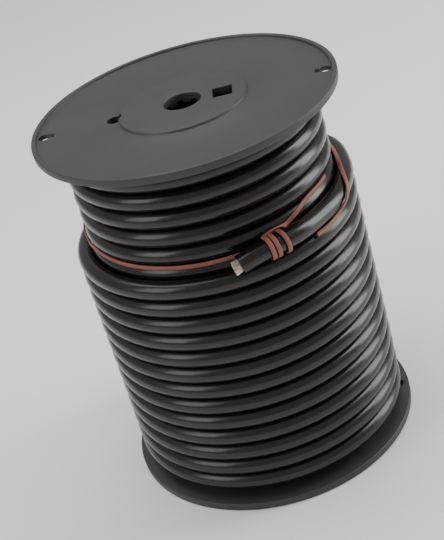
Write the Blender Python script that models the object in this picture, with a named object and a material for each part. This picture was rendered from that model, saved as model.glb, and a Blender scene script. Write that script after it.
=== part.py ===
"""Plastic reel wound with heavy single-core cable, standing on its lower flange.

Units are metres with +Z up. Driving sizes are in millimetres and are turned
into metres where meshes are made. The reel's axis is Z and its lowest rim
lies at z = 0.
"""

import math

import bmesh
import bpy
from mathutils import Matrix, Vector

MM = 0.001

# Clearances
GAP = 0.3  # between pieces that touch
SINK = 0.4  # how far the end turn is fused into the pack

# Reel
FLANGE_D = 165.1
TRAVERSE = 203.2
WEB_T = 2.6
RIM_W = 2.8
RIM_H = 1.7
BOSS_R = 35.0
BOSS_H = 1.5
BORE_R = 10.1
COLLAR_T = 2.3
COLLAR_L = 1.5
NOTCHES = 8
NOTCH_W = 3.4
BARREL_D = 64.4
BARREL_WALL = 2.0
SPIGOT_WALL = 2.0
SPIGOT_L = 10.0
EDGE = 0.5
DRIVE_HOLE_D = 8.5
DRIVE_CLEAR = 0.7  # from the barrel's outside to the drive hole
WINDOW_CLEAR = 0.4  # from the spigot's bore to the window's outer corners
WINDOW_L = 10.5
WINDOW_W = 11.7
SLOT_EYE_D = 7.0
SLOT_NECK_W = 4.2
SLOT_L = 8.7
SLOT_CLEAR = 0.3  # from the rim's foot to the slot

# Cable
CABLE_D = 10.4
TURN_GAP = 0.15  # between neighbouring turns
LAYER_GAP = 0.04  # between nested layers
OPEN_TURNS = 6  # by which the outer layer is short of a full one
CONDUCTOR_D = 7.6
STRIP_L = 3.6
SOCKET_L = 7.0

# End turn, by azimuth in degrees from +X
END_CUT = -79.6
END_BEND = -70.0
END_FREE = -58.0
END_SEATED = -40.0
CROSS_START = 133.0
CROSS_END = 167.0
END_LIFT_R = 3.5
END_LIFT_Z = 2.0
END_BEND_R = 1.5  # how far the tip bends out beyond the lift
END_BEND_Z = -2.4

# Tie band
BAND_W = 2.4
BAND_T = 1.0
WRAP_FROM = -68.0
WRAP_STEP = 2.2  # degrees of azimuth that each wrap moves on
WRAP_SPREAD = 1.7  # more than that before the last wrap
WRAP_START = 105.0
WRAP_SWEEP = 1000.0
WRAP_POINTS = 33
WRAP_SLACK = 0.2

# Mesh fineness
FLANGE_STEPS = 56
BARREL_STEPS = 40
PACK_STEPS = 40
CABLE_SIDES = 12

# Derived sizes
FLANGE_R = FLANGE_D / 2
FLANGE_T = WEB_T + RIM_H
HEIGHT = TRAVERSE + 2 * FLANGE_T
CABLE_R = CABLE_D / 2
PITCH = CABLE_D + TURN_GAP
LAYER_STEP = math.sqrt(CABLE_D**2 - (PITCH / 2) ** 2) + LAYER_GAP
STRIP_STEP = 6.5  # degrees of azimuth between points of the end turn


def derive():
    """Work out the sizes that follow from the driving ones."""
    sizes = {}
    sizes["barrel_r"] = BARREL_D / 2
    sizes["barrel_bore_r"] = sizes["barrel_r"] - BARREL_WALL
    sizes["spigot_r"] = sizes["barrel_bore_r"] - GAP
    sizes["spigot_bore_r"] = sizes["spigot_r"] - SPIGOT_WALL
    # Holes in a flange, all on one line across it
    sizes["drive_hole_x"] = -(sizes["barrel_r"] + DRIVE_CLEAR + DRIVE_HOLE_D / 2)
    corner_r = sizes["spigot_bore_r"] - WINDOW_CLEAR
    window_far = math.sqrt(corner_r**2 - (WINDOW_W / 2) ** 2)
    sizes["window_x"] = window_far - WINDOW_L / 2
    sizes["slot_x"] = FLANGE_R - RIM_W - SLOT_CLEAR - SLOT_L / 2
    # Winding: turns and layers are as many as the reel has room for
    sizes["pack_bore_r"] = sizes["barrel_r"] + GAP
    sizes["first_layer_r"] = sizes["pack_bore_r"] + CABLE_R
    layer_room = FLANGE_R - CABLE_R - sizes["first_layer_r"]
    sizes["layers"] = int(layer_room / LAYER_STEP) + 1
    turn_room = TRAVERSE - 2 * GAP - CABLE_D
    sizes["full_turns"] = int(turn_room / PITCH) + 1
    sizes["outer_turns"] = sizes["full_turns"] - OPEN_TURNS
    sizes["low_z"] = FLANGE_T + GAP + CABLE_R
    sizes["high_z"] = sizes["low_z"] + PITCH / 2
    sizes["outer_r"] = sizes["first_layer_r"] + (sizes["layers"] - 1) * LAYER_STEP
    sizes["inner_r"] = sizes["outer_r"] - LAYER_STEP
    sizes["top_turn_z"] = sizes["high_z"] + (sizes["outer_turns"] - 1) * PITCH
    sizes["end_z"] = sizes["top_turn_z"] + PITCH
    return sizes


S = derive()


def clear_scene():
    for thing in list(bpy.data.objects):
        bpy.data.objects.remove(thing, do_unlink=True)


def material(name, colour, roughness, metallic=0.0):
    mat = bpy.data.materials.new(name)
    mat.use_nodes = True
    shader = mat.node_tree.nodes["Principled BSDF"]
    shader.inputs["Base Color"].default_value = (*colour, 1.0)
    shader.inputs["Roughness"].default_value = roughness
    shader.inputs["Metallic"].default_value = metallic
    return mat


def add_object(name, bm, mat=None):
    """Turn a bmesh into an object, still in millimetres."""
    bmesh.ops.recalc_face_normals(bm, faces=bm.faces)
    mesh = bpy.data.meshes.new(name)
    bm.to_mesh(mesh)
    bm.free()
    thing = bpy.data.objects.new(name, mesh)
    bpy.context.collection.objects.link(thing)
    if mat:
        mesh.materials.append(mat)
    return thing


def join_rings(bm, rings, closed):
    """Skin a list of vertex rings, each a closed loop of the same count."""
    pairs = list(zip(rings, rings[1:]))
    if closed:
        pairs.append((rings[-1], rings[0]))
    for one, two in pairs:
        for i in range(len(one)):
            j = (i + 1) % len(one)
            bm.faces.new((one[i], one[j], two[j], two[i]))


def turned(name, outline, steps, mat):
    """A closed outline of (radius, height) turned round Z."""
    bm = bmesh.new()
    rings = []
    for k in range(steps):
        angle = 2 * math.pi * k / steps
        c, s = math.cos(angle), math.sin(angle)
        rings.append([bm.verts.new((r * c, r * s, z)) for r, z in outline])
    join_rings(bm, rings, closed=True)
    return add_object(name, bm, mat)


def prism(name, outline, low, high):
    """A flat outline of (x, y) drawn up from low to high."""
    bm = bmesh.new()
    base = [bm.verts.new((x, y, low)) for x, y in outline]
    top = [bm.verts.new((x, y, high)) for x, y in outline]
    bm.faces.new(base)
    bm.faces.new(top)
    join_rings(bm, [base, top], closed=False)
    return add_object(name, bm)


def tube(name, points, radius, sides, mat=None):
    """A round bar along points, with flat ends."""
    bm = bmesh.new()
    rings = []
    for i, point in enumerate(points):
        ahead = points[min(i + 1, len(points) - 1)]
        behind = points[max(i - 1, 0)]
        along = (ahead - behind).normalized()
        out = Vector((point.x, point.y, 0)).normalized()
        across = along.cross(out).normalized()
        out = across.cross(along).normalized()
        ring = []
        for k in range(sides):
            angle = 2 * math.pi * (k + 0.5) / sides
            offset = out * math.cos(angle) + across * math.sin(angle)
            ring.append(bm.verts.new(point + offset * radius))
        rings.append(ring)
    join_rings(bm, rings, closed=False)
    bm.faces.new(rings[0])
    bm.faces.new(rings[-1])
    return add_object(name, bm, mat)


def cut(target, cutter, operation="DIFFERENCE"):
    """Apply a boolean and take the cutter away."""
    cutter.display_type = "WIRE"
    cutter.hide_render = True
    step = target.modifiers.new(cutter.name, "BOOLEAN")
    step.operation = operation
    step.solver = "EXACT"
    step.object = cutter
    graph = bpy.context.evaluated_depsgraph_get()
    mesh = bpy.data.meshes.new_from_object(target.evaluated_get(graph))
    target.modifiers.clear()
    old = target.data
    target.data = mesh
    mesh.name = old.name.split(".")[0]
    bpy.data.meshes.remove(old)
    bpy.data.objects.remove(cutter, do_unlink=True)


def finish(thing, angle=35):
    """Scale a finished body from millimetres to metres and shade it."""
    thing.data.transform(Matrix.Scale(MM, 4))
    thing.data.shade_smooth()
    thing.data.set_sharp_from_angle(angle=math.radians(angle))


def arc(x, y, radius, start, end, count):
    """Points of an arc in degrees, both ends included."""
    points = []
    for i in range(count):
        angle = math.radians(start + (end - start) * i / (count - 1))
        points.append((x + radius * math.cos(angle), y + radius * math.sin(angle)))
    return points


def eased(value, start, end):
    """0 before start, 1 past end, and a smooth ramp between them."""
    t = min(max((value - start) / (end - start), 0.0), 1.0)
    return t * t * (3 - 2 * t)


def at(azimuth, radius, z):
    angle = math.radians(azimuth)
    return Vector((radius * math.cos(angle), radius * math.sin(angle), z))


def keyhole(side):
    """A rim slot: a round eye outward with a narrower neck inward."""
    eye_r = SLOT_EYE_D / 2
    outer = S["slot_x"] + SLOT_L / 2
    inner = S["slot_x"] - SLOT_L / 2
    half = SLOT_NECK_W / 2
    meet = 180 - math.degrees(math.asin(half / eye_r))
    points = arc(outer - eye_r, 0, eye_r, -meet, meet, 16)
    points += [(inner, half), (inner, -half)]
    return [(side * x, y) for x, y in points]


def notch_bar(index):
    """A bar across the bore that cuts two facing notches in its collar."""
    reach = BORE_R + COLLAR_T + COLLAR_L
    angle = math.pi * (index + 0.3) / (NOTCHES // 2)
    c, s = math.cos(angle), math.sin(angle)
    half = NOTCH_W / 2
    bar = [(-reach, -half), (reach, -half), (reach, half), (-reach, half)]
    return [(x * c - y * s, x * s + y * c) for x, y in bar]


def flange(name, inner_z, way, mat):
    """A flange whose outer face looks along way (+1 up, -1 down)."""
    bore, collar = BORE_R, BORE_R + COLLAR_T
    spigot, spigot_bore = S["spigot_r"], S["spigot_bore_r"]
    boss_t = WEB_T + BOSS_H
    lip = FLANGE_R - RIM_W
    outline = [
        (bore, -COLLAR_L),
        (collar, -COLLAR_L),
        (collar, 0),
        (spigot_bore, 0),
        (spigot_bore, -SPIGOT_L),
        (spigot, -SPIGOT_L),
        (spigot, 0),
        (FLANGE_R - EDGE, 0),
        (FLANGE_R, EDGE),
        (FLANGE_R, FLANGE_T - EDGE),
        (FLANGE_R - EDGE, FLANGE_T),
        (lip + EDGE, FLANGE_T),
        (lip, WEB_T),
        (BOSS_R, WEB_T),
        (BOSS_R - 2 * EDGE, boss_t),
        (bore + EDGE, boss_t),
        (bore, boss_t - EDGE),
    ]
    outline = [(r, inner_z + way * h) for r, h in outline]
    body = turned(name, outline, FLANGE_STEPS, mat)
    low = inner_z - 2 * SPIGOT_L
    high = inner_z + 2 * SPIGOT_L
    half_l, half_w = WINDOW_L / 2, WINDOW_W / 2
    window = [
        (S["window_x"] - half_l, -half_w),
        (S["window_x"] + half_l, -half_w),
        (S["window_x"] + half_l, half_w),
        (S["window_x"] - half_l, half_w),
    ]
    drive = arc(S["drive_hole_x"], 0, DRIVE_HOLE_D / 2, 7.5, 352.5, 24)
    for label, hole in (
        ("window", window),
        ("drive", drive),
        ("slot_left", keyhole(-1)),
        ("slot_right", keyhole(1)),
    ):
        cut(body, prism(f"{name}_{label}", hole, low, high))
    ends = sorted((inner_z, inner_z - way * 2 * COLLAR_L))
    for i in range(NOTCHES // 2):
        notch = prism(f"{name}_notch_{i}", notch_bar(i), *ends)
        cut(body, notch)
    finish(body)
    return body


def barrel(mat):
    low = FLANGE_T + GAP
    high = HEIGHT - FLANGE_T - GAP
    wall = [
        (S["barrel_bore_r"], low),
        (S["barrel_r"], low),
        (S["barrel_r"], high),
        (S["barrel_bore_r"], high),
    ]
    body = turned("barrel", wall, BARREL_STEPS, mat)
    finish(body)
    return body


def layer_turns(layer):
    """Heights of a layer's turns; alternate layers sit half a pitch higher."""
    top_layer = S["layers"] - 1
    nested = (top_layer - layer) % 2 == 0
    start = S["high_z"] if nested else S["low_z"]
    if layer == top_layer:
        count = S["outer_turns"]
    else:
        count = S["full_turns"] - 1 if nested else S["full_turns"]
    return [start + i * PITCH for i in range(count)]


def pack_outline():
    """The wound pack's half section, with a scallop for each turn that shows."""
    crest, half_crest, root = 0.95 * CABLE_R, 0.46 * CABLE_R, 0.17 * CABLE_R
    layers = range(S["layers"])
    radii = [S["first_layer_r"] + i * LAYER_STEP for i in layers]
    low = [layer_turns(i)[0] - CABLE_R for i in layers]
    high = [layer_turns(i)[-1] + CABLE_R for i in layers]
    points = [(S["pack_bore_r"], low[0] + CABLE_R)]
    for i in layers:
        points.append((radii[i] - half_crest, low[i]))
        points.append((radii[i] + half_crest, low[i]))
    for z in layer_turns(layers[-1]):
        r = radii[-1]
        points.append((r + crest, z - half_crest))
        points.append((r + crest, z + half_crest))
        points.append((r + root, z + PITCH / 2))
    # The ledge slopes up to the layer inside it, so that the end turn beds in it
    ledge = S["end_z"] - CABLE_R + SINK
    points[-1] = (radii[-1] + root, ledge)
    points.append((radii[-1], ledge))
    shown = [z for z in layer_turns(layers[-2]) if z > ledge]
    points.append((radii[-2] + crest, shown[0] - PITCH + half_crest))
    points.append((radii[-2] + root, shown[0] - PITCH / 2))
    for z in shown:
        r = radii[-2]
        points.append((r + crest, z - half_crest))
        points.append((r + crest, z + half_crest))
        points.append((r + root, z + PITCH / 2))
    points.pop()
    for i in reversed(layers[:-1]):
        points.append((radii[i] + half_crest, high[i]))
        points.append((radii[i] - half_crest, high[i]))
    points.append((S["pack_bore_r"], high[0] - CABLE_R))
    return points


def end_axis(azimuth):
    """Centreline of the last, part turn. Its free end lifts off and its tip sags out."""
    lift = 1 - eased(azimuth, END_FREE, END_SEATED)
    bend = 1 - eased(azimuth, END_CUT, END_BEND)
    drop = eased(azimuth, CROSS_START, CROSS_END)
    radius = S["outer_r"] + END_LIFT_R * lift + END_BEND_R * bend
    height = S["end_z"] + END_LIFT_Z * lift + END_BEND_Z * bend - PITCH * drop
    return at(azimuth, radius, height)


def cable(mat):
    """The wound cable: the turned pack with its last part turn on the ledge."""
    body = turned("cable", pack_outline(), PACK_STEPS, mat)
    count = round((CROSS_END - END_CUT) / STRIP_STEP)
    step = (CROSS_END - END_CUT) / count
    route = [end_axis(END_CUT + step * i) for i in range(count + 1)]
    cut(body, tube("end_turn", route, CABLE_R, CABLE_SIDES), "UNION")
    along = (route[1] - route[0]).normalized()
    mouth = [route[0] - along * STRIP_L, route[0] + along * SOCKET_L]
    socket_r = CONDUCTOR_D / 2 + GAP
    cut(body, tube("socket", mouth, socket_r, CABLE_SIDES))
    finish(body)
    return body


def conductor(mat):
    """The bare strands at the cut end, as one round bar."""
    start = end_axis(END_CUT)
    step = (CROSS_END - END_CUT) / round((CROSS_END - END_CUT) / STRIP_STEP)
    along = (end_axis(END_CUT + step) - start).normalized()
    ends = [start - along * STRIP_L, start + along * (SOCKET_L - GAP)]
    body = tube("conductor", ends, CONDUCTOR_D / 2, CABLE_SIDES, mat)
    finish(body)
    return body


def lying(azimuth, radius, height, tilt=0.0):
    """A band point and the way its flat face looks; tilt turns it upward."""
    turn = math.radians(tilt)
    face = at(azimuth, math.cos(turn), math.sin(turn))
    return at(azimuth, radius, height), face


def round_end(azimuth, angle, reach):
    """A band point at an angle round the end turn: 0 outward, 90 up."""
    face = lying(azimuth, 1.0, 0.0, angle)[1]
    return end_axis(azimuth) + reach * face, face


def tie_route():
    """The tie band: tucked tail, knot, once round the pack, and back.

    Places beside the pack are out from its crests and up from the end turn's
    middle, as shares of the cable's thickness.
    """
    on_pack = S["inner_r"] + CABLE_R + BAND_T / 2
    reach = CABLE_R + BAND_T / 2 + GAP
    over_wraps = reach + BAND_T + GAP
    # Tail, tucked in a groove of the layer inside the ledge
    route = []
    for azimuth, out, rise, tilt in (
        (-22, -0.163, 1.019, 0),
        (-27.5, -0.163, 1.019, 0),
        (-33, -0.163, 1.019, 0),
        (-41, -0.144, 0.971, 5),
        (-49, 0.015, 0.808, 22),
        (-56, 0.05, 0.558, 30),
    ):
        place = on_pack + out * CABLE_D, S["end_z"] + rise * CABLE_D
        route.append(lying(azimuth, *place, tilt))
    # Over the knot and into it, round the free end
    route.append(round_end(-60.5, 116, over_wraps))
    route.append(round_end(-64.5, 112, over_wraps))
    for i in range(WRAP_POINTS):
        angle = WRAP_START - WRAP_SWEEP * i / (WRAP_POINTS - 1)
        wraps = (WRAP_START - angle) / 360
        azimuth = WRAP_FROM + WRAP_STEP * wraps + WRAP_SPREAD * eased(wraps, 1.4, 2.1)
        route.append(round_end(azimuth, angle, reach + WRAP_SLACK))
    # Out behind the knot, in the groove at the left, and round the back
    rest = []
    for azimuth, out, rise, tilt in (
        (-62.2, -0.173, -0.02, 0),
        (-66, -0.173, -0.03, 0),
        (-70, -0.163, -0.03, 0),
        (-78, -0.163, -0.038, 0),
        (-86, -0.163, -0.038, 0),
        (-94, -0.163, -0.038, 0),
        (-102, -0.163, -0.03, 0),
        (-111, -0.163, -0.01, 0),
        (-120, -0.163, 0.01, 0),
        (-129, -0.163, 0.02, 0),
        (-138, -0.163, 0.03, 0),
        (-147, -0.154, 0.038, 0),
        (-156, -0.125, 0.048, 0),
        (-165, -0.04, 0.06, 0),
        (-176, 0.035, 0.23, -15),
        (-186, 0.01, 0.42, 0),
        (-195, 0.02, 0.6, 0),
        (-203, 0.04, 0.67, 10),
        (-214, 0.06, 0.67, 20),
        (-225, 0.08, 0.65, 35),
        (-236, 0.085, 0.625, 48),
        (-247, 0.085, 0.615, 56),
        (-258, 0.085, 0.615, 59),
        (-269, 0.085, 0.615, 59),
        (-280, 0.085, 0.615, 59),
        (-291, 0.085, 0.615, 59),
        (-302, 0.085, 0.615, 59),
        (-313, 0.085, 0.615, 59),
        (-324, 0.085, 0.615, 59),
        (-335, 0.085, 0.615, 59),
        (-346, 0.085, 0.615, 60),
        (-357, 0.085, 0.625, 66),
    ):
        place = on_pack + out * CABLE_D, S["end_z"] + rise * CABLE_D
        rest.append(lying(azimuth, *place, tilt))
    # Over the end turn and back along the groove below it
    for azimuth, angle in (
        (-5.5, 102),
        (-11, 88),
        (-15.5, 70),
        (-19, 48),
        (-22, 24),
        (-25, -3),
        (-28.5, -28),
    ):
        rest.append(round_end(azimuth, angle, reach + WRAP_SLACK))
    for azimuth, out, rise, tilt in (
        (-33.5, 0.394, 0.067, -8),
        (-38, 0.394, 0.02, 0),
        (-42, 0.394, 0.0, 0),
        (-46.5, 0.394, 0.01, 0),
    ):
        place = S["outer_r"] + out * CABLE_D, S["end_z"] - PITCH / 2 + rise * CABLE_D
        rest.append(lying(azimuth, place[0] + BAND_T / 2, place[1], tilt))
    # The band has turned over in the knot
    return route + [(place, -face) for place, face in rest]


def tie_band(mat):
    """A flat band along the route, its face kept turned the way it lies."""
    route = tie_route()
    places = [place for place, _ in route]
    bm = bmesh.new()
    rings = []
    for i, (place, face) in enumerate(route):
        ahead = places[min(i + 1, len(places) - 1)]
        behind = places[max(i - 1, 0)]
        along = (ahead - behind).normalized()
        side = along.cross(face).normalized() * BAND_W / 2
        up = side.cross(along).normalized() * BAND_T / 2
        corners = (side + up, up - side, -side - up, side - up)
        rings.append([bm.verts.new(place + corner) for corner in corners])
    join_rings(bm, rings, closed=False)
    bm.faces.new(rings[0])
    bm.faces.new(rings[-1])
    body = add_object("tie_band", bm, mat)
    finish(body)
    return body


def main():
    clear_scene()
    plastic = material("reel_plastic", (0.055, 0.055, 0.055), 0.5)
    tube_plastic = material("barrel_plastic", (0.03, 0.03, 0.03), 0.5)
    jacket = material("cable_jacket", (0.012, 0.012, 0.012), 0.3)
    copper = material("bare_strands", (0.75, 0.68, 0.6), 0.3, 1.0)
    band = material("tie_band", (0.36, 0.12, 0.08), 0.6)
    flange("flange_bottom", FLANGE_T, -1, plastic)
    flange("flange_top", HEIGHT - FLANGE_T, 1, plastic)
    barrel(tube_plastic)
    cable(jacket)
    conductor(copper)
    tie_band(band)


main()
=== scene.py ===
"""Looks of the cable reel: one long cable tube, rounded flanges, strands and tie band."""

import math

import bmesh
import bpy
import numpy as np
from mathutils import Matrix, Vector


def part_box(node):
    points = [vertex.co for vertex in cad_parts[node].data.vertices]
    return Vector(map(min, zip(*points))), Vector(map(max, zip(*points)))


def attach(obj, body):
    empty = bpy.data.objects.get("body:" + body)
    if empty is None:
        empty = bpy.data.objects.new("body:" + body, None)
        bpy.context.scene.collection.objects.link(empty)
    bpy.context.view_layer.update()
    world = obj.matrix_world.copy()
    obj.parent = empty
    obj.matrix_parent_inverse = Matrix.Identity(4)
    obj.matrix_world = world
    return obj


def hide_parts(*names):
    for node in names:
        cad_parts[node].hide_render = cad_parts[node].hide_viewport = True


MM = 0.001

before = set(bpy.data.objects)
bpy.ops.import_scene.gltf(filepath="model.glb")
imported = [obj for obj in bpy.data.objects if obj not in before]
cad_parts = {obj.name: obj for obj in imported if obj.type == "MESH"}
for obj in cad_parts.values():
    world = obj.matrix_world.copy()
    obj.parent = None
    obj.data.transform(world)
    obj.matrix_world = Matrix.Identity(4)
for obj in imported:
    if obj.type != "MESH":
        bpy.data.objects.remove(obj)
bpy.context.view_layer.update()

# Reel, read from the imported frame
low_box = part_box("flange_bottom")
high_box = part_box("flange_top")
FLANGE_R = (low_box[1].x - low_box[0].x) / 2
HEIGHT = high_box[1].z

# Sizes that the part's source sets, in metres
WEB_T = 2.6 * MM
RIM_W = 2.8 * MM
FLANGE_T = 4.3 * MM
BOSS_R = 35.0 * MM
BOSS_T = 4.1 * MM
BORE_R = 10.1 * MM
COLLAR_T = 2.3 * MM
COLLAR_L = 1.5 * MM
NOTCHES = 8
NOTCH_W = 3.4 * MM
SPIGOT_R = 29.9 * MM
SPIGOT_WALL = 2.0 * MM
SPIGOT_L = 10.0 * MM
DRIVE_HOLE = (-37.15 * MM, 4.25 * MM)
WINDOW = (21.62 * MM, 10.5 * MM, 11.7 * MM)
SLOT_MIDDLE = 75.1 * MM
SLOT_L = 8.7 * MM
SLOT_EYE_R = 3.5 * MM
SLOT_NECK_W = 4.2 * MM

CABLE_R = 5.2 * MM
PITCH = 10.55 * MM
LAYER_GAP = 0.04 * MM
LAYER_STEP = math.sqrt(4 * CABLE_R**2 - PITCH**2 / 4) + LAYER_GAP
FIRST_R = 37.7 * MM
LOW_Z = 9.8 * MM
LAYER_TURNS = (18, 19, 18, 19, 13)
OUTER_R = FIRST_R + 4 * LAYER_STEP
SHELF_Z = LOW_Z + PITCH / 2 + LAYER_TURNS[-1] * PITCH
END_CUT = -79.6
END_BEND = -70.0
END_FREE = -58.0
END_SEATED = -40.0
END_LIFT_R = 3.5 * MM
END_LIFT_Z = 2.0 * MM
END_BEND_R = 1.5 * MM
END_BEND_Z = -2.4 * MM

# Where each layer steps over to its next turn: hidden at the back, each layer's
# place a little further round than the one under it
CROSS_OUTER = 150.0
CROSS_STAGGER = 32.0
CROSS_WIDTH = 34.0

BAND_W = 2.4 * MM
BAND_T = 1.0 * MM
BAND_GAP = 0.3 * MM
WRAP_SLACK = 0.2 * MM
WRAP_FROM = -68.0
WRAP_STEP = 2.2
WRAP_SPREAD = 1.7
WRAP_START = 105.0
WRAP_SWEEP = 1000.0
WRAP_POINTS = 33

# Mesh fineness
TURN_STEPS = 60
CABLE_SIDES = 18

# Camera, measured on the flanges' outlines in the photograph
VIEW_TURN = 7.15
VIEW_HEIGHT = 29.757
VIEW_DISTANCE = 8.953 * FLANGE_R
VIEW_AIM_SIDE = -0.0658 * FLANGE_R
VIEW_AIM_UP = 1.2974 * FLANGE_R
VIEW_ROLL = -16.74
VIEW_LENS = 87.71


def eased(value, start, end):
    """0 before start, 1 past end, and a smooth ramp between them."""
    t = np.clip((value - start) / (end - start), 0.0, 1.0)
    return t * t * (3 - 2 * t)


def camera():
    """The camera stands over -Y, is rolled, and is turned a little round Z."""
    rise = math.radians(VIEW_HEIGHT)
    place = Vector((0, -math.cos(rise), math.sin(rise))) * VIEW_DISTANCE
    place.z += VIEW_AIM_UP
    aim = Vector((VIEW_AIM_SIDE, 0, VIEW_AIM_UP))
    ahead = (aim - place).normalized()
    right = ahead.cross(Vector((0, 0, 1))).normalized()
    up = right.cross(ahead)
    frame_axes = Matrix((right, up, -ahead)).transposed().to_4x4()
    roll = Matrix.Rotation(math.radians(VIEW_ROLL), 4, "Z")
    turn = Matrix.Rotation(math.radians(VIEW_TURN), 4, "Z")
    data = bpy.data.cameras.new("camera")
    data.lens = VIEW_LENS
    data.sensor_width = 36.0
    data.clip_start = 0.01
    data.clip_end = 50.0
    seen_from = bpy.data.objects.new("camera", data)
    seen_from.matrix_world = turn @ Matrix.Translation(place) @ frame_axes @ roll
    bpy.context.collection.objects.link(seen_from)
    bpy.context.scene.camera = seen_from


# Materials


def node_material(name):
    mat = bpy.data.materials.new(name)
    mat.use_nodes = True
    tree = mat.node_tree
    return mat, tree, tree.nodes["Principled BSDF"]


def add(tree, kind, **values):
    """Add a node and set its inputs by name."""
    node = tree.nodes.new(kind)
    for key, value in values.items():
        node.inputs[key].default_value = value
    return node


def noise(tree, scale, detail=4.0, stretch=(1, 1, 1)):
    place = tree.nodes.new("ShaderNodeTexCoord")
    mapping = tree.nodes.new("ShaderNodeMapping")
    mapping.inputs["Scale"].default_value = stretch
    texture = add(tree, "ShaderNodeTexNoise", Scale=scale, Detail=detail)
    tree.links.new(place.outputs["Object"], mapping.inputs["Vector"])
    tree.links.new(mapping.outputs["Vector"], texture.inputs["Vector"])
    return texture.outputs["Fac"]


def ramp(tree, source, low, high, start=0.3, end=0.7):
    """Map a 0 to 1 source onto two colours."""
    node = tree.nodes.new("ShaderNodeValToRGB")
    node.color_ramp.elements[0].position = start
    node.color_ramp.elements[1].position = end
    node.color_ramp.elements[0].color = low
    node.color_ramp.elements[1].color = high
    tree.links.new(source, node.inputs["Fac"])
    return node.outputs["Color"]


def grey(value):
    return (value, value, value, 1.0)


def vary(tree, shader, source, socket, low, high):
    tree.links.new(ramp(tree, source, grey(low), grey(high)), shader.inputs[socket])


def roughen(tree, shader, source, distance, strength=1.0):
    bump = add(tree, "ShaderNodeBump", Strength=strength, Distance=distance)
    tree.links.new(source, bump.inputs["Height"])
    tree.links.new(bump.outputs["Normal"], shader.inputs["Normal"])


def reel_plastic():
    mat, tree, shader = node_material("reel_plastic")
    cloud = noise(tree, 22.0)
    colour = ramp(tree, cloud, (0.030, 0.030, 0.031, 1), (0.038, 0.037, 0.036, 1))
    tree.links.new(colour, shader.inputs["Base Color"])
    vary(tree, shader, noise(tree, 60.0), "Roughness", 0.46, 0.54)
    roughen(tree, shader, noise(tree, 2600.0, 2.0), 0.00003, 0.5)
    return mat


def barrel_plastic():
    mat, tree, shader = node_material("barrel_plastic")
    colour = ramp(tree, noise(tree, 30.0), grey(0.016), grey(0.022))
    tree.links.new(colour, shader.inputs["Base Color"])
    vary(tree, shader, noise(tree, 80.0), "Roughness", 0.45, 0.55)
    return mat


def cable_jacket():
    mat, tree, shader = node_material("cable_jacket")
    colour = ramp(
        tree, noise(tree, 35.0), (0.006, 0.004, 0.0034, 1), (0.010, 0.0072, 0.006, 1)
    )
    tree.links.new(colour, shader.inputs["Base Color"])
    vary(tree, shader, noise(tree, 120.0), "Roughness", 0.20, 0.27)
    roughen(tree, shader, noise(tree, 700.0, 3.0), 0.00005, 0.4)
    return mat


def strand_copper():
    mat, tree, shader = node_material("strand_copper")
    colour = ramp(
        tree, noise(tree, 300.0), (0.82, 0.66, 0.50, 1), (0.92, 0.84, 0.74, 1)
    )
    tree.links.new(colour, shader.inputs["Base Color"])
    shader.inputs["Metallic"].default_value = 1.0
    vary(tree, shader, noise(tree, 900.0), "Roughness", 0.22, 0.36)
    return mat


def band_rubber():
    mat, tree, shader = node_material("band_rubber")
    colour = ramp(
        tree, noise(tree, 90.0), (0.21, 0.070, 0.052, 1), (0.28, 0.100, 0.074, 1)
    )
    tree.links.new(colour, shader.inputs["Base Color"])
    vary(tree, shader, noise(tree, 300.0), "Roughness", 0.5, 0.65)
    roughen(tree, shader, noise(tree, 1500.0, 3.0), 0.00004, 0.5)
    return mat


# Meshes


def link(name, mesh, mat, sharp=35.0):
    mesh.materials.clear()
    mesh.materials.append(mat)
    mesh.shade_smooth()
    mesh.set_sharp_from_angle(angle=math.radians(sharp))
    thing = bpy.data.objects.new(name, mesh)
    bpy.context.collection.objects.link(thing)
    return thing


def skin(rings, closed=False, capped=True):
    """Vertices and faces over an array of rings, shape (rings, sides, 3)."""
    count, sides = rings.shape[:2]
    here = np.arange(count if closed else count - 1)[:, None] * sides
    there = ((here // sides + 1) % count) * sides
    one = np.arange(sides)[None, :]
    two = (one + 1) % sides
    quads = np.stack([here + one, here + two, there + two, there + one], -1)
    faces = quads.reshape(-1, 4).tolist()
    if capped and not closed:
        faces.append(list(range(sides))[::-1])
        faces.append(list(range((count - 1) * sides, count * sides)))
    return rings.reshape(-1, 3), faces


def tube_mesh(name, rings, closed=False):
    points, faces = skin(rings, closed)
    mesh = bpy.data.meshes.new(name)
    mesh.from_pydata(points.tolist(), [], faces)
    bm = bmesh.new()
    bm.from_mesh(mesh)
    bmesh.ops.recalc_face_normals(bm, faces=bm.faces)
    bm.to_mesh(mesh)
    bm.free()
    return mesh


def unit(vectors):
    return vectors / np.linalg.norm(vectors, axis=-1, keepdims=True)


def tangents(points):
    return unit(np.gradient(points, axis=0))


def round_rings(points, along, out, radius, sides):
    """Circles of a radius, or one radius each, square to the path."""
    across = unit(np.cross(along, out))
    out = np.cross(across, along)
    angle = 2 * np.pi * np.arange(sides) / sides
    radius = np.broadcast_to(radius, len(points))[:, None, None]
    offset = (
        out[:, None, :] * np.cos(angle)[None, :, None]
        + across[:, None, :] * np.sin(angle)[None, :, None]
    )
    return points[:, None, :] + offset * radius


# Cable


def layer_start(layer):
    """Height of a layer's first turn, and which way the layer goes."""
    going_up = layer % 2 == 0
    low = LOW_Z + (PITCH / 2 if going_up else 0.0)
    if going_up:
        return low, 1
    return low + (LAYER_TURNS[layer] - 1) * PITCH, -1


def cross_at(layer):
    return CROSS_OUTER - (4 - layer) * CROSS_STAGGER


def cross_share(layer, azimuth):
    """How far a layer has stepped over at an azimuth, in turns of 0 to 1."""
    behind = (cross_at(layer) - azimuth + 180.0) % 360.0 - 180.0
    return eased(behind, -CROSS_WIDTH / 2, CROSS_WIDTH / 2) * (behind < 90.0)


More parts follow.
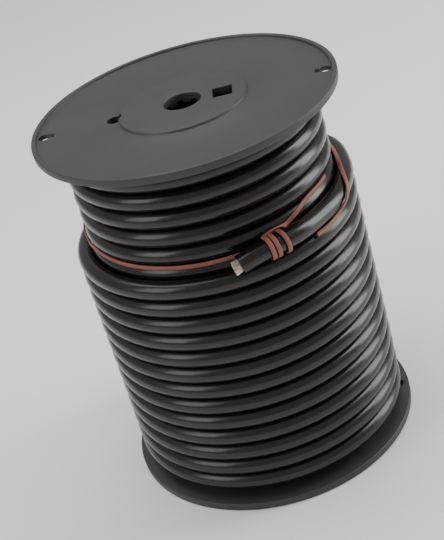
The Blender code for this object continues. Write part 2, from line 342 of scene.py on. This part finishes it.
def layer_radius(layer, azimuth):
    """Nested layers sit close, and ride up where they cross each other."""
    radius = np.full_like(azimuth, FIRST_R)
    reach = math.hypot(LAYER_STEP, PITCH / 2)
    for k in range(1, layer + 1):
        way, way_below = layer_start(k)[1], layer_start(k - 1)[1]
        shift = 0.5 + way * cross_share(k, azimuth)
        shift -= way_below * cross_share(k - 1, azimuth)
        part = shift % 1.0
        aside = PITCH * np.minimum(part, 1.0 - part)
        radius += np.sqrt(reach**2 - aside**2)
    return radius


def cable_path():
    """Azimuth, radius and height all along the cable, from its inner end."""
    stagger = CROSS_STAGGER / 360.0
    width = CROSS_WIDTH / 360.0
    starts = [0.0]
    for count in LAYER_TURNS[:-1]:
        starts.append(starts[-1] + count - (stagger if len(starts) > 1 else 0.0))
    last_part = (CROSS_OUTER - END_CUT) / 360.0
    total = starts[-1] + LAYER_TURNS[-1] - stagger + last_part
    turns = np.linspace(0.0, total, int(total * TURN_STEPS) + 1)
    azimuth = cross_at(0) - 360.0 * turns
    radius = height = None
    for layer, count in enumerate(LAYER_TURNS):
        begin, way = layer_start(layer)
        lead = stagger if layer else 0.0
        done = turns - starts[layer] + lead - 1.0 + width / 2
        steps = np.floor(done) + eased(done - np.floor(done), 0.0, width)
        most = count if layer == len(LAYER_TURNS) - 1 else count - 1
        this_z = begin + way * PITCH * np.clip(steps, 0, most)
        this_r = layer_radius(layer, azimuth)
        if radius is None:
            radius, height = this_r, this_z
            continue
        over = eased(turns - starts[layer], -width / 2, width / 2)
        radius = radius * (1 - over) + this_r * over
        height = height * (1 - over) + this_z * over
    left = 360.0 * (total - turns)
    from_cut = END_CUT + left
    lift = 1 - eased(from_cut, END_FREE, END_SEATED)
    bend = 1 - eased(from_cut, END_CUT, END_BEND)
    slack = 0.12 * MM * eased(left, 60.0, 200.0)
    radius = radius + END_LIFT_R * lift + END_BEND_R * bend - slack * np.sin(turns * 9.7) ** 2
    height = height + END_LIFT_Z * lift + END_BEND_Z * bend + slack * np.sin(turns * 7.3)
    return azimuth, radius, height


def polar(azimuth, radius, height):
    angle = np.radians(azimuth)
    return np.stack(
        [radius * np.cos(angle), radius * np.sin(angle), height * np.ones_like(angle)],
        -1,
    )


def cable(mat):
    """The whole cable as one tube, with a hollow jacket at its cut end."""
    azimuth, radius, height = cable_path()
    points = polar(azimuth, radius, height)
    along = tangents(points)
    out = polar(azimuth, np.ones_like(azimuth), np.zeros_like(azimuth))
    size = np.full(len(points), CABLE_R)
    tip, way, side = points[-1], along[-1], out[-1]
    # The jacket's cut face: a slightly rounded edge and the hole for the strands
    ends = ((0.15, 5.12), (0.3, 4.95), (0.3, 3.95), (0.0, 3.8), (-5.0, 3.8))
    extra = np.array([tip + way * forward * MM for forward, _ in ends])
    points = np.concatenate([points, extra])
    along = np.concatenate([along, np.repeat(way[None], len(ends), 0)])
    out = np.concatenate([out, np.repeat(side[None], len(ends), 0)])
    size = np.concatenate([size, [r * MM for _, r in ends]])
    rings = round_rings(points, along, out, size, CABLE_SIDES)
    mesh = tube_mesh("cable_turns", rings)
    return link("cable_turns", mesh, mat, 50.0), (tip, way, side)


def strands(end, mat):
    """Fine copper wires in rings, slightly spread where they leave the jacket."""
    tip, way, side = end
    up = np.cross(way, side)
    wire_r = 0.49 * MM
    steps = np.linspace(-4.5, 3.4, 9)
    points, faces = [], []
    random = np.random.default_rng(4)
    for ring, count in enumerate((1, 6, 12, 18)):
        for k in range(count):
            turn = 2 * math.pi * k / max(count, 1) + 0.3 * ring
            longer = random.uniform(-0.35, 0.35)
            spread = random.uniform(0.0, 0.14)
            far = 1.04 * ring * 2 * wire_r
            line = []
            for step in steps:
                ahead = step + (longer if step > 3 else 0.0)
                grown = far * (1 + spread * max(step, 0.0) / 3.4)
                angle = turn + 0.09 * step
                offset = side * math.cos(angle) + up * math.sin(angle)
                line.append(tip + way * ahead * MM + offset * grown)
            line = np.array(line)
            sizes = np.full(len(line), wire_r)
            line = np.concatenate([line, line[-1:] + way * 0.08 * MM])
            sizes = np.append(sizes, wire_r * 0.8)
            along = np.repeat(way[None], len(line), 0)
            rings = round_rings(line, along, np.repeat(side[None], len(line), 0), sizes, 8)
            own, own_faces = skin(rings)
            faces += [[i + len(points) for i in face] for face in own_faces]
            points += own.tolist()
    mesh = bpy.data.meshes.new("strands")
    mesh.from_pydata(points, [], faces)
    bm = bmesh.new()
    bm.from_mesh(mesh)
    bmesh.ops.recalc_face_normals(bm, faces=bm.faces)
    bm.to_mesh(mesh)
    bm.free()
    return link("strands", mesh, mat)


# Tie band


def end_axis(azimuth):
    lift = 1 - eased(azimuth, END_FREE, END_SEATED)
    bend = 1 - eased(azimuth, END_CUT, END_BEND)
    radius = OUTER_R + END_LIFT_R * lift + END_BEND_R * bend
    height = SHELF_Z + END_LIFT_Z * lift + END_BEND_Z * bend
    return polar(np.array(azimuth), np.array(radius), height)


def lying(azimuth, radius, height, tilt=0.0):
    """A band point and the way its flat face looks; tilt turns it upward."""
    turn = math.radians(tilt)
    face = polar(np.array(azimuth), np.array(math.cos(turn)), math.sin(turn))
    return polar(np.array(azimuth), np.array(radius), height), face


def round_end(azimuth, angle, reach):
    """A band point at an angle round the end turn: 0 outward, 90 up."""
    face = lying(azimuth, 1.0, 0.0, angle)[1]
    return end_axis(azimuth) + reach * face, face


def tie_route():
    """The tie band: tucked tail, knot, once round the pack, and back.

    Places beside the pack are out from its crests and up from the end turn's
    middle, as shares of the cable's thickness.
    """
    on_pack = OUTER_R - LAYER_STEP + CABLE_R + BAND_T / 2
    reach = CABLE_R + BAND_T / 2 + BAND_GAP
    over_wraps = reach + BAND_T + BAND_GAP
    # Tail, tucked in a groove of the layer inside the ledge
    route = []
    for azimuth, out, rise, tilt in (
        (-22, -0.163, 1.019, 0),
        (-27.5, -0.163, 1.019, 0),
        (-33, -0.163, 1.019, 0),
        (-41, -0.144, 0.971, 5),
        (-49, 0.015, 0.808, 22),
        (-56, 0.05, 0.558, 30),
    ):
        place = on_pack + out * 2 * CABLE_R, SHELF_Z + rise * 2 * CABLE_R
        route.append(lying(azimuth, *place, tilt))
    # Over the knot and into it, round the free end
    route.append(round_end(-60.5, 116, over_wraps))
    route.append(round_end(-64.5, 112, over_wraps))
    for i in range(WRAP_POINTS):
        angle = WRAP_START - WRAP_SWEEP * i / (WRAP_POINTS - 1)
        wraps = (WRAP_START - angle) / 360
        azimuth = WRAP_FROM + WRAP_STEP * wraps + WRAP_SPREAD * eased(wraps, 1.4, 2.1)
        route.append(round_end(azimuth, angle, reach + WRAP_SLACK))
    # Out behind the knot, in the groove at the left, and round the back
    rest = []
    for azimuth, out, rise, tilt in (
        (-62.2, -0.173, -0.02, 0),
        (-66, -0.173, -0.03, 0),
        (-70, -0.163, -0.03, 0),
        (-78, -0.163, -0.038, 0),
        (-86, -0.163, -0.038, 0),
        (-94, -0.163, -0.038, 0),
        (-102, -0.163, -0.03, 0),
        (-111, -0.163, -0.01, 0),
        (-120, -0.163, 0.01, 0),
        (-129, -0.163, 0.02, 0),
        (-138, -0.163, 0.03, 0),
        (-147, -0.154, 0.038, 0),
        (-156, -0.125, 0.048, 0),
        (-165, -0.04, 0.06, 0),
        (-176, 0.035, 0.23, -15),
        (-186, 0.01, 0.42, 0),
        (-195, 0.02, 0.6, 0),
        (-203, 0.04, 0.67, 10),
        (-214, 0.06, 0.67, 20),
        (-225, 0.08, 0.65, 35),
        (-236, 0.085, 0.625, 48),
        (-247, 0.085, 0.615, 56),
        (-258, 0.085, 0.615, 59),
        (-269, 0.085, 0.615, 59),
        (-280, 0.085, 0.615, 59),
        (-291, 0.085, 0.615, 59),
        (-302, 0.085, 0.615, 59),
        (-313, 0.085, 0.615, 59),
        (-324, 0.085, 0.615, 59),
        (-335, 0.085, 0.615, 59),
        (-346, 0.085, 0.615, 60),
        (-357, 0.085, 0.625, 66),
    ):
        place = on_pack + out * 2 * CABLE_R, SHELF_Z + rise * 2 * CABLE_R
        rest.append(lying(azimuth, *place, tilt))
    # Over the end turn and back along the groove below it
    for azimuth, angle in (
        (-5.5, 102),
        (-11, 88),
        (-15.5, 70),
        (-19, 48),
        (-22, 24),
        (-25, -3),
        (-28.5, -28),
    ):
        rest.append(round_end(azimuth, angle, reach + WRAP_SLACK))
    for azimuth, out, rise, tilt in (
        (-33.5, 0.394, 0.067, -8),
        (-38, 0.394, 0.02, 0),
        (-42, 0.394, 0.0, 0),
        (-46.5, 0.394, 0.01, 0),
    ):
        place = OUTER_R + out * 2 * CABLE_R, SHELF_Z - PITCH / 2 + rise * 2 * CABLE_R
        rest.append(lying(azimuth, place[0] + BAND_T / 2, place[1], tilt))
    # The band has turned over in the knot
    route += [(place, -face) for place, face in rest]
    places = np.array([place for place, _ in route])
    faces = np.array([face for _, face in route])
    return places, faces


def smoothed(points, fine):
    """Catmull-Rom curve through points, with fine steps between each two."""
    padded = np.concatenate([points[:1], points, points[-1:]])
    t = np.linspace(0, 1, fine, endpoint=False)[:, None]
    parts = []
    for a, b, c, d in zip(padded, padded[1:], padded[2:], padded[3:]):
        parts.append(
            0.5
            * (
                2 * b
                + (c - a) * t
                + (2 * a - 5 * b + 4 * c - d) * t**2
                + (3 * b - a - 3 * c + d) * t**3
            )
        )
    return np.concatenate(parts + [points[-1:]])


def tie_band(mat):
    """A flat rubber band with rounded edges along its route."""
    places, faces = tie_route()
    places, faces = smoothed(places, 6), unit(smoothed(faces, 6))
    along = tangents(places)
    side = unit(np.cross(along, faces))
    up = np.cross(side, along)
    half_w, half_t, corner = BAND_W / 2, BAND_T / 2, 0.3 * MM
    section = []
    for x, y, start in ((1, 1, 0), (-1, 1, 90), (-1, -1, 180), (1, -1, 270)):
        for turn in (0, 45, 90):
            angle = math.radians(start + turn)
            section.append(
                (
                    x * (half_w - corner) + corner * math.cos(angle),
                    y * (half_t - corner) + corner * math.sin(angle),
                )
            )
    section = np.array(section)
    rings = (
        places[:, None, :]
        + side[:, None, :] * section[None, :, :1]
        + up[:, None, :] * section[None, :, 1:]
    )
    return link("tie_band_detail", tube_mesh("tie_band_detail", rings), mat, 50.0)


# Flanges


def fillet(corner_r, corner_h, radius, start, count=4):
    """A quarter round about a centre, from the start angle anticlockwise."""
    points = []
    for i in range(count):
        angle = math.radians(start + 90.0 * i / (count - 1))
        points.append(
            (corner_r + radius * math.cos(angle), corner_h + radius * math.sin(angle))
        )
    return points


def flange_outline():
    """Half section of a flange, heights measured outward from its inner face."""
    edge, soft = 0.7 * MM, 0.9 * MM
    lip = FLANGE_R - RIM_W
    spigot_bore = SPIGOT_R - SPIGOT_WALL
    outline = [
        (BORE_R, -COLLAR_L),
        (BORE_R + COLLAR_T, -COLLAR_L),
        (BORE_R + COLLAR_T, 0),
        (spigot_bore, 0),
        (spigot_bore, -SPIGOT_L),
        (SPIGOT_R, -SPIGOT_L),
        (SPIGOT_R, 0),
    ]
    outline += fillet(FLANGE_R - edge, edge, edge, -90)
    outline += fillet(FLANGE_R - edge, FLANGE_T - edge, edge, 0)
    outline += fillet(lip + edge, FLANGE_T - edge, edge, 90)
    outline += [(lip, WEB_T + soft)]
    outline += [
        (lip - soft * (1 - math.cos(a)), WEB_T + soft * (1 - math.sin(a)))
        for a in (math.radians(30), math.radians(60), math.radians(90))
    ]
    outline += [
        (BOSS_R + 0.5 * MM, WEB_T),
        (BOSS_R + 0.15 * MM, WEB_T + 0.15 * MM),
        (BOSS_R - 0.2 * MM, BOSS_T - 0.5 * MM),
        (BOSS_R - 0.6 * MM, BOSS_T - 0.15 * MM),
        (BOSS_R - 1.2 * MM, BOSS_T),
    ]
    round_edge = 0.5 * MM
    outline += fillet(BORE_R + round_edge, BOSS_T - round_edge, round_edge, 90)
    return outline


def turned(name, outline, steps):
    angle = 2 * np.pi * np.arange(steps) / steps
    outline = np.array(outline)
    rings = np.stack(
        [
            np.cos(angle)[:, None] * outline[None, :, 0],
            np.sin(angle)[:, None] * outline[None, :, 0],
            np.broadcast_to(outline[None, :, 1], (steps, len(outline))),
        ],
        -1,
    )
    return tube_mesh(name, rings, closed=True)


def grown(outline, amount):
    """An outline moved outward by an amount."""
    points = np.array(outline)
    edge = unit(np.roll(points, -1, 0) - points)
    normal = np.stack([edge[:, 1], -edge[:, 0]], -1)
    both = unit(normal + np.roll(normal, 1, 0))
    lean = np.maximum((both * normal).sum(1), 0.3)
    return points + both * (amount / lean)[:, None]


def hole_cutter(outline, inner, outer, way, flare=0.3 * MM):
    """A hole's shape, flared a little where it meets the faces."""
    levels = (
        (inner - 2 * SPIGOT_L, 0.0),
        (outer - flare, 0.0),
        (outer + flare, 2 * flare),
        (outer + SPIGOT_L, 2 * flare),
    )
    rings = []
    for height, grow in levels:
        flat = grown(outline, grow)
        tall = np.full((len(flat), 1), way * height)
        rings.append(np.concatenate([flat, tall], 1))
    return tube_mesh("cutter", np.array(rings))


def circle(x, radius, count, start=0.0):
    angle = np.radians(start) + 2 * np.pi * np.arange(count) / count
    return np.stack([x + radius * np.cos(angle), radius * np.sin(angle)], -1)


def keyhole(side):
    """A rim slot: a round eye outward with a narrower neck inward."""
    outer, inner = SLOT_MIDDLE + SLOT_L / 2, SLOT_MIDDLE - SLOT_L / 2
    half = SLOT_NECK_W / 2
    meet = math.asin(half / SLOT_EYE_R)
    angle = np.linspace(meet - math.pi, math.pi - meet, 24)
    eye = np.stack(
        [
            outer - SLOT_EYE_R + SLOT_EYE_R * np.cos(angle),
            SLOT_EYE_R * np.sin(angle),
        ],
        -1,
    )
    points = np.concatenate([eye, [(inner, half), (inner, -half)]])
    return points if side > 0 else -points


def box_outline(x, length, width, angle=0.0):
    half_l, half_w = length / 2, width / 2
    points = np.array(
        [(-half_l, -half_w), (half_l, -half_w), (half_l, half_w), (-half_l, half_w)]
    )
    c, s = math.cos(angle), math.sin(angle)
    return points @ np.array([(c, s), (-s, c)]) + [x, 0.0]


def carve(target, cutter_mesh):
    cutter = bpy.data.objects.new("cutter", cutter_mesh)
    bpy.context.collection.objects.link(cutter)
    step = target.modifiers.new("cut", "BOOLEAN")
    step.operation = "DIFFERENCE"
    step.solver = "EXACT"
    step.object = cutter
    graph = bpy.context.evaluated_depsgraph_get()
    target.data = bpy.data.meshes.new_from_object(target.evaluated_get(graph))
    target.modifiers.clear()
    bpy.data.objects.remove(cutter, do_unlink=True)


def flange(name, inner_z, way, mat):
    """Make a flange as if its outer face looked up, in millimetres, then place it."""
    to_mm = 1 / MM
    outline = np.array(flange_outline()) * to_mm
    body = bpy.data.objects.new(name, turned(name, outline, 120))
    bpy.context.collection.objects.link(body)
    holes = [
        (circle(DRIVE_HOLE[0], DRIVE_HOLE[1], 32, 5.0), BOSS_T, 0.02 * MM),
        (box_outline(*WINDOW), BOSS_T, 0.2 * MM),
        (keyhole(-1), WEB_T, 0.3 * MM),
        (keyhole(1), WEB_T, 0.3 * MM),
    ]
    for flat, face, flare in holes:
        cutter = hole_cutter(flat, 0.0, face, 1, flare)
        cutter.transform(Matrix.Scale(to_mm, 4))
        carve(body, cutter)
    for i in range(NOTCHES // 2):
        turn = math.pi * (i + 0.3) / (NOTCHES // 2)
        bar = box_outline(0.0, 2 * (BORE_R + COLLAR_T + MM), NOTCH_W, turn)
        rings = [
            np.concatenate([bar, np.full((4, 1), height)], 1)
            for height in (-2 * COLLAR_L, 0.01 * MM)
        ]
        cutter = tube_mesh("cutter", np.array(rings))
        cutter.transform(Matrix.Scale(to_mm, 4))
        carve(body, cutter)
    mesh = body.data
    bpy.data.objects.remove(body, do_unlink=True)
    mesh.transform(Matrix.Scale(MM, 4))
    if way < 0:
        mesh.transform(Matrix.Scale(-1, 4, (0, 0, 1)))
        mesh.flip_normals()
    mesh.transform(Matrix.Translation((0, 0, inner_z)))
    return link(name, mesh, mat, 32.0)


# Studio


def floor():
    mesh = bpy.data.meshes.new("floor")
    far = 6.0
    mesh.from_pydata(
        [(-far, -far, 0), (far, -far, 0), (far, far, 0), (-far, far, 0)],
        [],
        [(0, 1, 2, 3)],
    )
    mat, tree, shader = node_material("floor")
    colour = ramp(tree, noise(tree, 1.5), grey(0.93), grey(0.95))
    tree.links.new(colour, shader.inputs["Base Color"])
    shader.inputs["Roughness"].default_value = 0.7
    thing = link("floor", mesh, mat)
    thing.location.z = -0.0002


def softbox(name, place, aim, size, power):
    light = bpy.data.lights.new(name, "AREA")
    light.shape = "RECTANGLE"
    light.size, light.size_y = size
    light.energy = power
    thing = bpy.data.objects.new(name, light)
    thing.location = place
    look = Vector(aim) - Vector(place)
    thing.rotation_euler = look.to_track_quat("-Z", "Y").to_euler()
    bpy.context.collection.objects.link(thing)


def studio():
    middle = (0, 0, 0.1)
    softbox("over", (-0.15, 0.25, 1.25), middle, (1.3, 1.0), 11)
    softbox("left", (-1.1, -0.75, 0.9), middle, (0.7, 1.0), 6)
    softbox("right", (1.15, 0.25, 0.55), middle, (0.5, 1.2), 12)
    world = bpy.data.worlds.new("studio")
    bpy.context.scene.world = world
    world.use_nodes = True
    back = world.node_tree.nodes["Background"]
    back.inputs["Color"].default_value = (1, 1, 1, 1)
    back.inputs["Strength"].default_value = 0.5


def main():
    camera()
    plastic = reel_plastic()
    jacket = cable_jacket()
    wound, end = cable(jacket)
    wires = strands(end, strand_copper())
    band = tie_band(band_rubber())
    lower = flange("lower_flange", FLANGE_T, -1, plastic)
    upper = flange("upper_flange", HEIGHT - FLANGE_T, 1, plastic)
    for piece, node, slot in (
        (wound, "cable", "cable_jacket"),
        (wires, "conductor", "bare_strands"),
        (band, "tie_band", "tie_band"),
        (lower, "flange_bottom", "reel_plastic"),
        (upper, "flange_top", "reel_plastic"),
    ):
        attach(piece, "root")
        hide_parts(node)
    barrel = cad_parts["barrel"]
    barrel.data.materials.clear()
    barrel.data.materials.append(barrel_plastic())
    floor()
    studio()


main()
